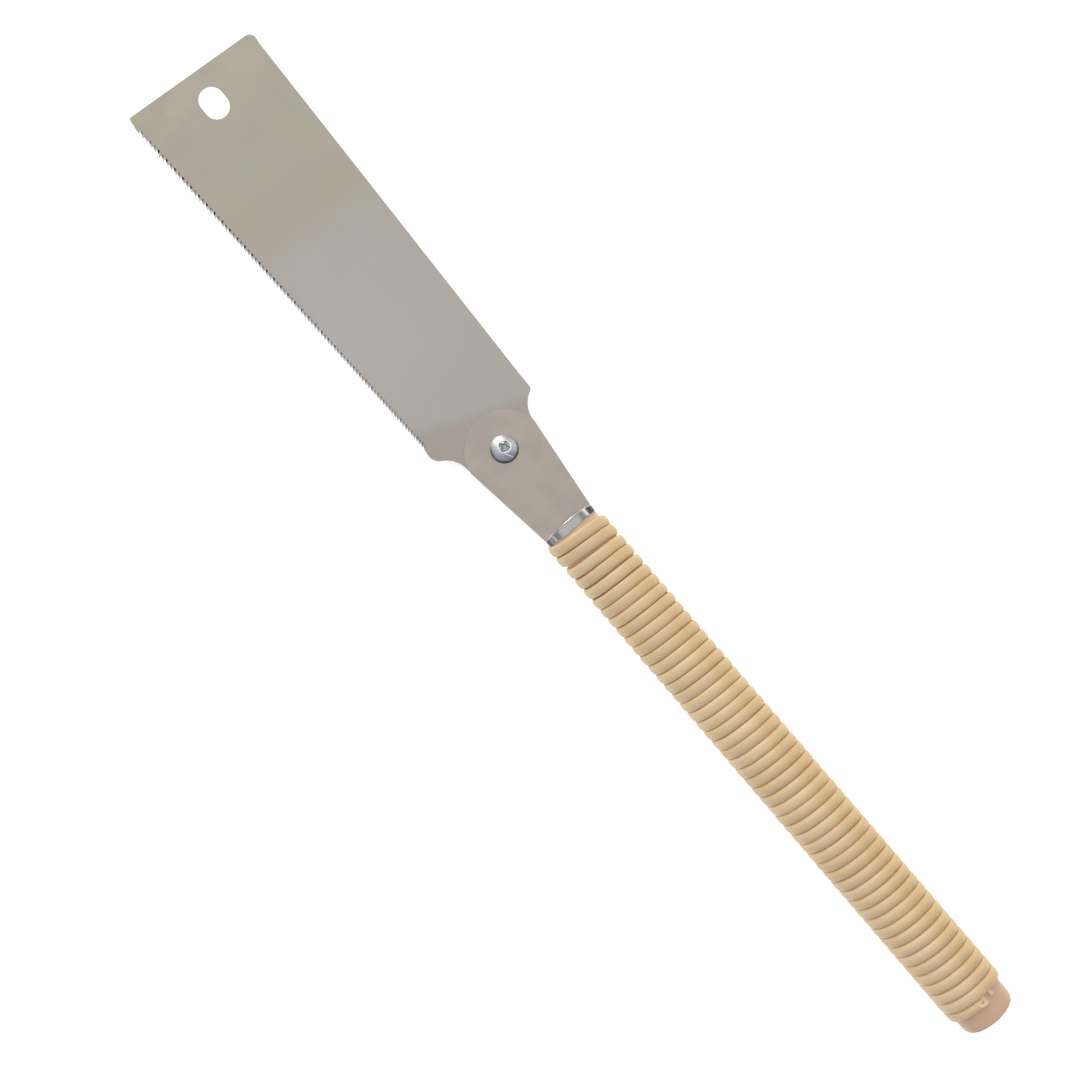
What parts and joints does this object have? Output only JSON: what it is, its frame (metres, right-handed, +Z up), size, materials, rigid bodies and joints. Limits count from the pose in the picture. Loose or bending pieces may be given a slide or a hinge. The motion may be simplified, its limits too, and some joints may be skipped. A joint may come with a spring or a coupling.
{
  "type": "flush cut saw",
  "caption": "Pull saw with a thin toothed blade clamped by a screw in a steel holder, on an oval handle wound with cane.",
  "frame": {"origin": "centre of the saw's outline in plan, on the plane that it lies on", "axes": "+X from the blade's tip to the butt of the handle, +Y to the blade's back edge, +Z up to the head of the clamp screw"},
  "size_m": [0.5172, 0.0633, 0.0211],
  "materials": {
    "blade_steel": "satin",
    "holder_steel": "satin",
    "zinc": "bright zinc plate",
    "ferrule_metal": "polished",
    "core_wood": "smooth sealed",
    "cane": "smooth natural cane"
  },
  "bodies": {
    "handle": {"holder_front_plate": "holder_steel", "holder_back_plate": "holder_steel", "holder_spacer": "holder_steel", "holder_rivets": "holder_steel", "clamp_nut": "zinc", "ferrule": "ferrule_metal", "handle_core": "core_wood", "handle_pins": "holder_steel", "cane_wrap": "cane", "cane_tail": "cane"},
    "blade": {"saw_blade": "blade_steel"},
    "screw": {"clamp_screw": "zinc"}
  },
  "joints": [
    {"name": "blade_slide", "type": "slide", "parent": "handle", "child": "blade", "axis": [-1, 0, 0], "range_m": [0, 0.04]},
    {"name": "screw_turn", "type": "hinge", "parent": "handle", "child": "screw", "pos_m": [-0.05225, 0, 0.01008], "axis": [0, 0, 1], "range_deg": [0, 720]}
  ]
}
